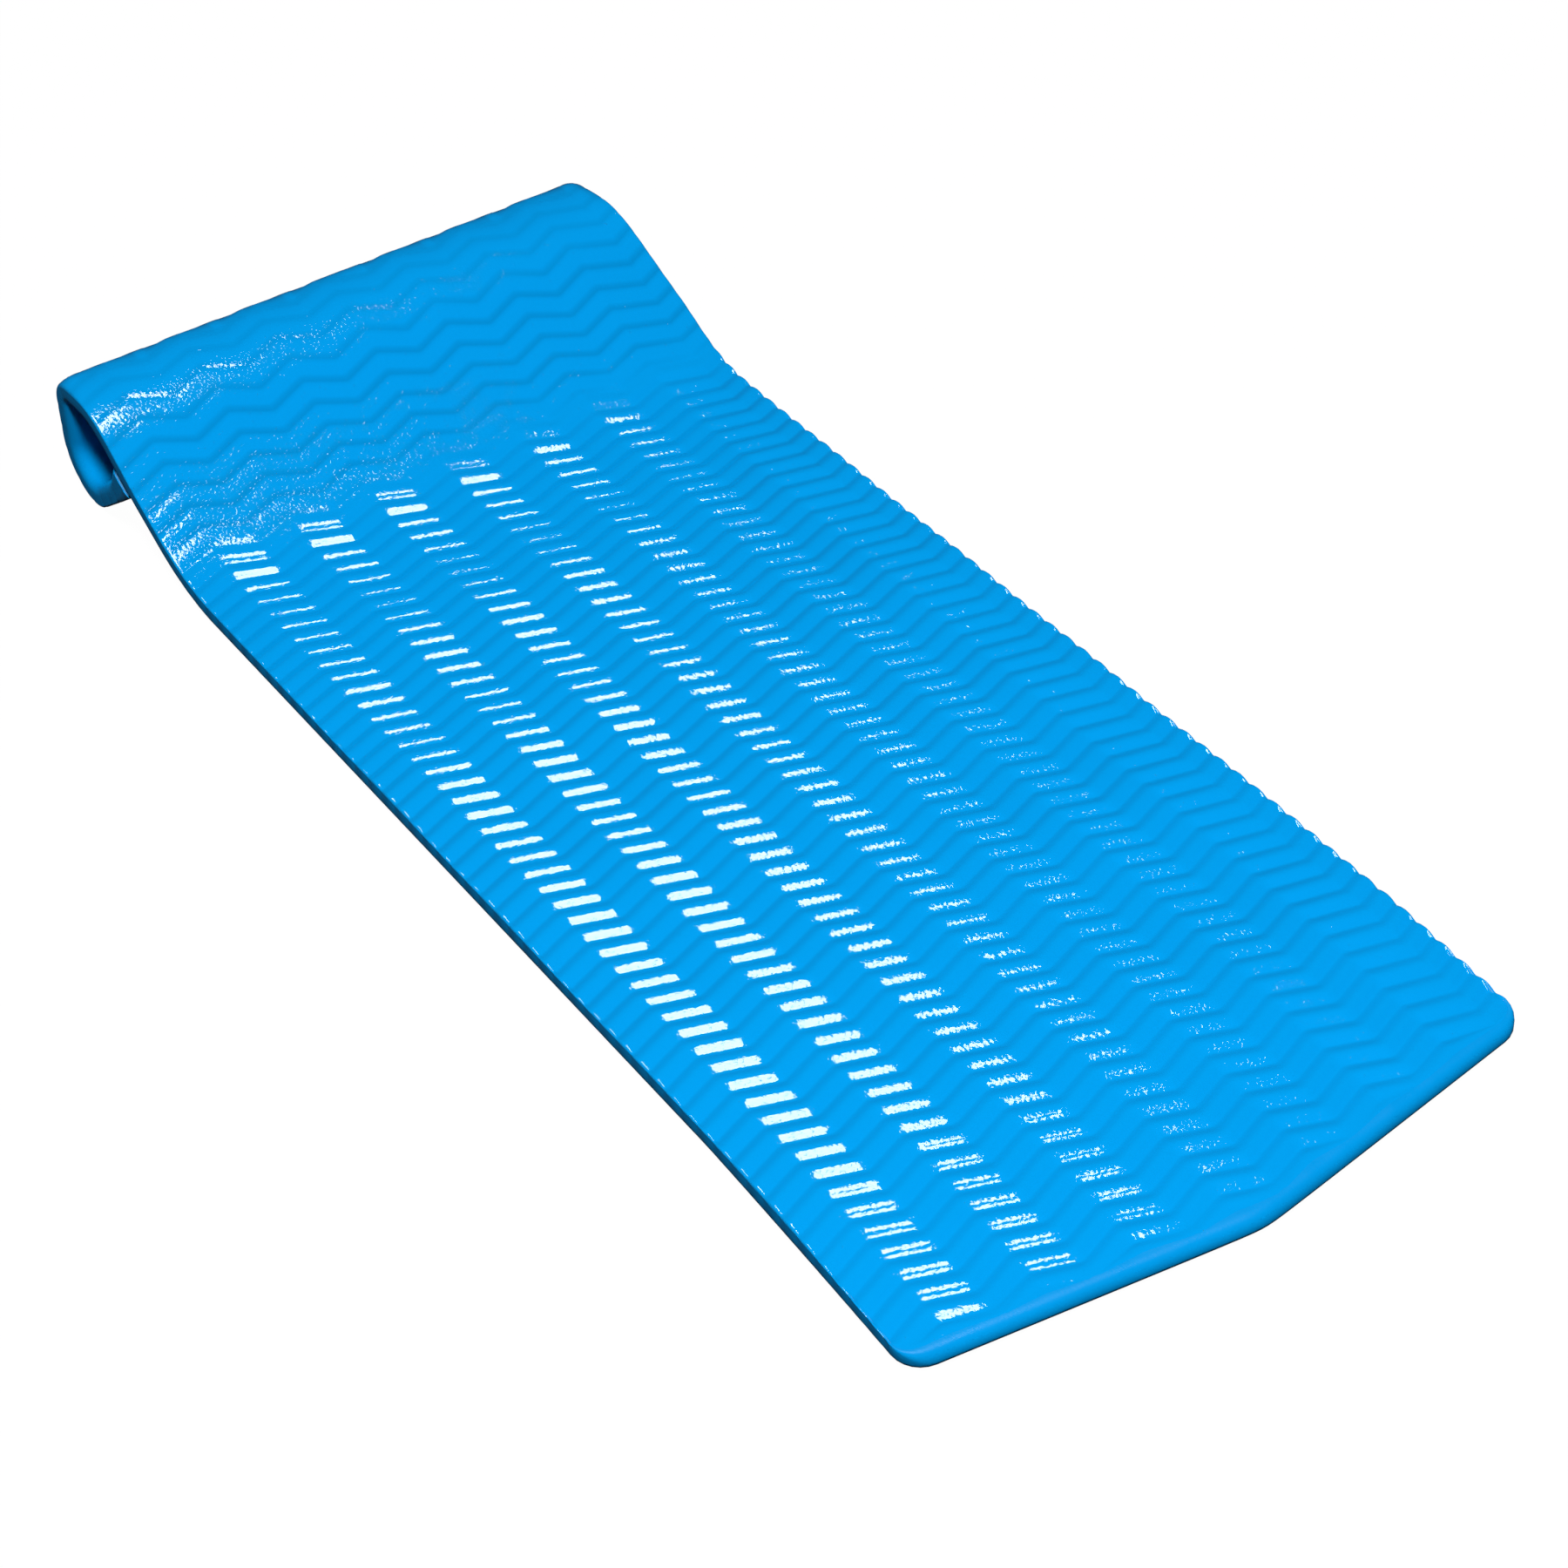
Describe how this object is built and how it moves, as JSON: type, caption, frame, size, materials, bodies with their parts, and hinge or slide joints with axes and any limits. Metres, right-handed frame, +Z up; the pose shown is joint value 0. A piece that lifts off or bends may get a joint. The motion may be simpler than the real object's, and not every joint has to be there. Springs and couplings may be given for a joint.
{
  "type": "pool float mat",
  "caption": "Long flat foam pool lounger mat in blue vinyl, chevron-ribbed on top, with a pointed foot end and a head end rolled under into a pillow.",
  "frame": {"origin": "middle of the footprint, on the surface that the mat lies on", "axes": "+Y along the mat from the pointed foot to the rolled pillow, +X across the mat, +Z up"},
  "size_m": [0.6356, 1.5368, 0.1299],
  "materials": {
    "blue_foam": "matte closed-cell foam",
    "glossy_blue_vinyl": "glossy",
    "satin_blue_vinyl": "satin",
    "amber_glue": "matte"
  },
  "bodies": {
    "root": {"foam_core": "blue_foam", "upper_vinyl_skin": "glossy_blue_vinyl", "lower_vinyl_skin": "satin_blue_vinyl", "pillow_bond": "amber_glue"}
  },
  "joints": []
}
